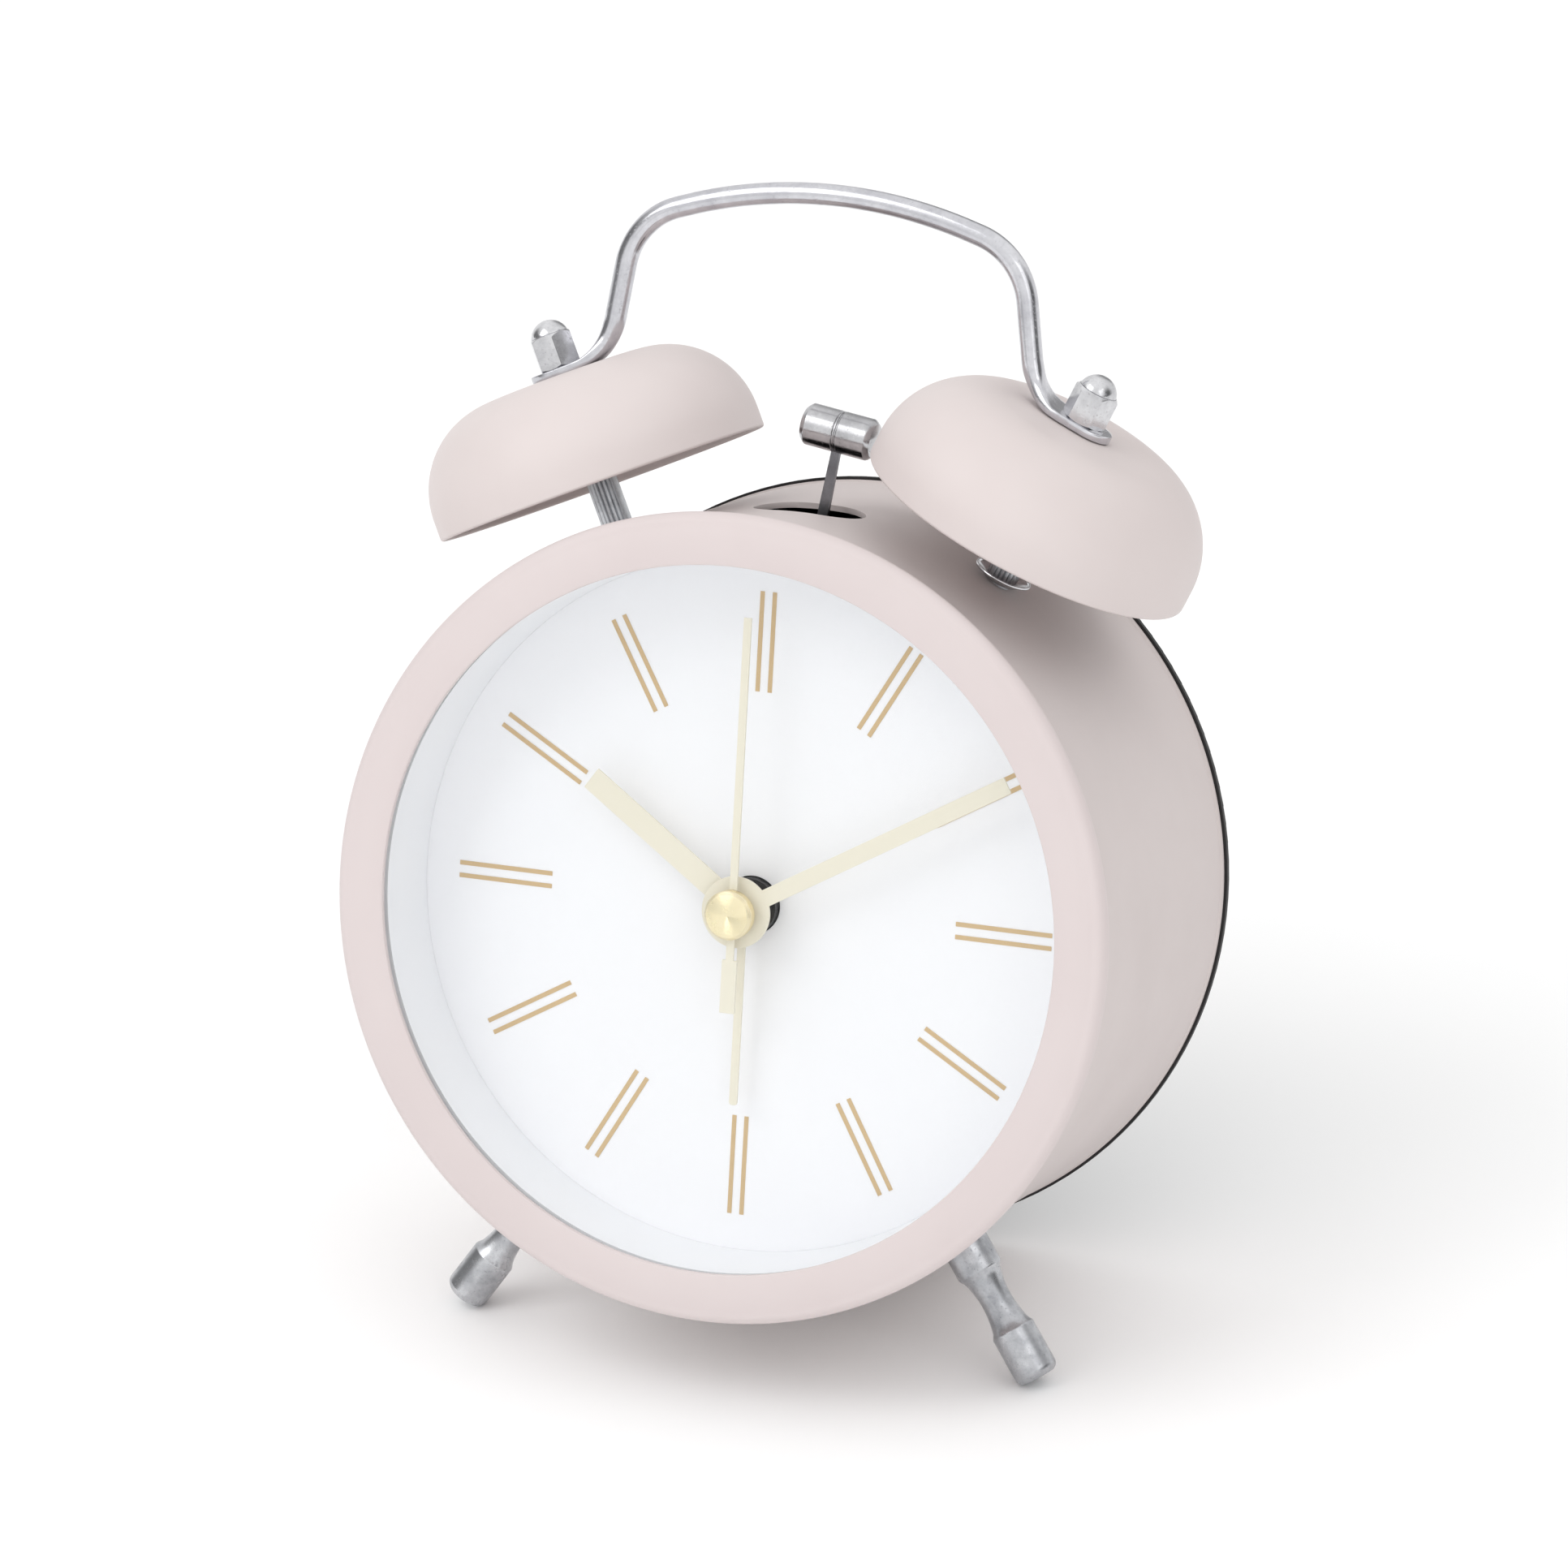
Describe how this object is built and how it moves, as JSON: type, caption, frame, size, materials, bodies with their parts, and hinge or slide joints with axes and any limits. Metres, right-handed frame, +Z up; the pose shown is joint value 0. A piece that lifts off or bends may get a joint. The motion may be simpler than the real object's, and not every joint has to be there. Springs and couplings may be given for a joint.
{
  "type": "alarm clock",
  "caption": "Twin-bell alarm clock: round enamelled drum leaning back on turned legs, with a bezel, a bar dial, a swinging hammer between bells and a carry handle.",
  "frame": {"origin": "centre of the bounding box on the surface the clock stands on", "axes": "+Z up, +X to the right seen from the front, -Y out of the dial side; the clock leans back 14.6 degrees about X"},
  "size_m": [0.1104, 0.0852, 0.1531],
  "materials": {
    "case_enamel": "satin",
    "bezel_enamel": "satin",
    "bell_enamel": "satin",
    "window": "polished",
    "dial_white": "matt",
    "surround_white": "matt",
    "bars_tan": "matt",
    "hands_cream": "satin",
    "turned_brass": "turned",
    "zinc_plate": "bright plated",
    "leg_plate": "bright plated",
    "steel": "brushed",
    "cover_black": "fine grained",
    "movement_black": "moulded",
    "gear_white": "moulded",
    "copper_wire": "wound",
    "board": "soldered",
    "cell_wrap": "printed film"
  },
  "bodies": {
    "clock": {"case_shell": "case_enamel", "bezel_ring": "bezel_enamel", "left_bell": "bell_enamel", "right_bell": "bell_enamel", "front_lens": "window", "dial_surround": "surround_white", "dial_plate": "dial_white", "hour_markers": "bars_tan", "movement_carrier": "movement_black", "left_post": "zinc_plate", "right_post": "zinc_plate", "left_leg": "leg_plate", "right_leg": "leg_plate", "cup_washers": "zinc_plate", "cap_nuts": "zinc_plate", "post_nuts": "zinc_plate", "leg_nuts": "zinc_plate", "carry_handle": "zinc_plate", "striker_plate": "steel", "striker_motor": "steel", "movement_housing": "movement_black", "movement_bridge": "gear_white", "movement_lid": "movement_black", "movement_screws": "steel", "striker_screws": "steel", "motor_stator": "steel", "drive_coil": "copper_wire", "circuit_board": "board", "quartz_crystal": "steel", "back_cover": "cover_black", "battery_cell": "cell_wrap", "positive_contact": "steel", "negative_contact": "steel", "contact_spring": "steel", "cover_pillars": "movement_black", "cover_screws": "steel"},
    "hammer": {"hammer_head": "steel", "hammer_arm": "steel"},
    "crank": {"motor_crank": "steel"},
    "second_train": {"second_wheel": "gear_white", "second_hand": "hands_cream", "second_cap": "turned_brass"},
    "third_gear": {"third_wheel": "gear_white"},
    "centre_gear": {"centre_wheel": "gear_white"},
    "idler_gear": {"idler_wheel": "gear_white"},
    "rotor": {"step_rotor": "gear_white"},
    "minute_train": {"cannon_pinion": "gear_white", "minute_hand": "hands_cream"},
    "motion_gear": {"motion_wheel": "gear_white"},
    "hour_train": {"hour_wheel": "gear_white", "hour_hand": "hands_cream"},
    "time_setting": {"time_arbor": "gear_white", "time_knob": "cover_black"},
    "alarm_train": {"alarm_wheel": "gear_white", "alarm_hand": "hands_cream"},
    "alarm_setting": {"alarm_arbor": "gear_white", "alarm_knob": "cover_black"},
    "switch": {"alarm_switch": "cover_black"},
    "door": {"battery_door": "cover_black"}
  },
  "joints": [
    {"name": "second_turn", "type": "hinge", "parent": "clock", "child": "second_train", "pos_m": [0, -0.01509, 0.06307], "axis": [0, 0.9679, -0.2513], "continuous": true},
    {"name": "third_turn", "type": "hinge", "parent": "clock", "child": "third_gear", "pos_m": [0, -0.0169, 0.0561], "axis": [0, 0.9679, -0.2513], "continuous": true},
    {"name": "centre_turn", "type": "hinge", "parent": "clock", "child": "centre_gear", "pos_m": [0, -0.01509, 0.06307], "axis": [0, 0.9679, -0.2513], "continuous": true},
    {"name": "idler_turn", "type": "hinge", "parent": "clock", "child": "idler_gear", "pos_m": [0, -0.01328, 0.07004], "axis": [0, 0.9679, -0.2513], "continuous": true},
    {"name": "rotor_turn", "type": "hinge", "parent": "clock", "child": "rotor", "pos_m": [0, -0.01152, 0.07681], "axis": [0, 0.9679, -0.2513], "continuous": true},
    {"name": "minute_turn", "type": "hinge", "parent": "clock", "child": "minute_train", "pos_m": [0, -0.01509, 0.06307], "axis": [0, 0.9679, -0.2513], "continuous": true},
    {"name": "motion_turn", "type": "hinge", "parent": "clock", "child": "motion_gear", "pos_m": [-0.006, -0.01509, 0.06307], "axis": [0, 0.9679, -0.2513], "continuous": true},
    {"name": "hour_turn", "type": "hinge", "parent": "clock", "child": "hour_train", "pos_m": [0, -0.01509, 0.06307], "axis": [0, 0.9679, -0.2513], "continuous": true},
    {"name": "time_knob_turn", "type": "hinge", "parent": "clock", "child": "time_setting", "pos_m": [-0.0135, -0.01509, 0.06307], "axis": [0, 0.9679, -0.2513], "continuous": true},
    {"name": "alarm_turn", "type": "hinge", "parent": "clock", "child": "alarm_train", "pos_m": [0, -0.01509, 0.06307], "axis": [0, 0.9679, -0.2513], "continuous": true},
    {"name": "alarm_knob_turn", "type": "hinge", "parent": "clock", "child": "alarm_setting", "pos_m": [0.0135, -0.01509, 0.06307], "axis": [0, 0.9679, -0.2513], "continuous": true},
    {"name": "hammer_swing", "type": "hinge", "parent": "clock", "child": "hammer", "pos_m": [0, 0.01028, 0.09988], "axis": [0, 0.9679, -0.2513], "range_deg": [-19, 0]},
    {"name": "crank_turn", "type": "hinge", "parent": "clock", "child": "crank", "pos_m": [0, 0.00827, 0.09213], "axis": [0, 0.9679, -0.2513], "continuous": true},
    {"name": "switch_slide", "type": "slide", "parent": "clock", "child": "switch", "axis": [1, 0, 0], "range_m": [0, 0.004]},
    {"name": "door_swing", "type": "hinge", "parent": "clock", "child": "door", "pos_m": [0, 0.02009, 0.01571], "axis": [-1, 0, 0], "range_deg": [0, 75]}
  ],
  "couplings": [
    {"joint": "rotor_turn", "follows": "second_turn", "ratio": 30},
    {"joint": "idler_turn", "follows": "second_turn", "ratio": -5},
    {"joint": "third_turn", "follows": "second_turn", "ratio": -0.13333},
    {"joint": "centre_turn", "follows": "second_turn", "ratio": 0.016667},
    {"joint": "motion_turn", "follows": "minute_turn", "ratio": -0.33333},
    {"joint": "hour_turn", "follows": "minute_turn", "ratio": 0.083333},
    {"joint": "time_knob_turn", "follows": "minute_turn", "ratio": 0.5},
    {"joint": "alarm_knob_turn", "follows": "alarm_turn", "ratio": -1.25}
  ]
}
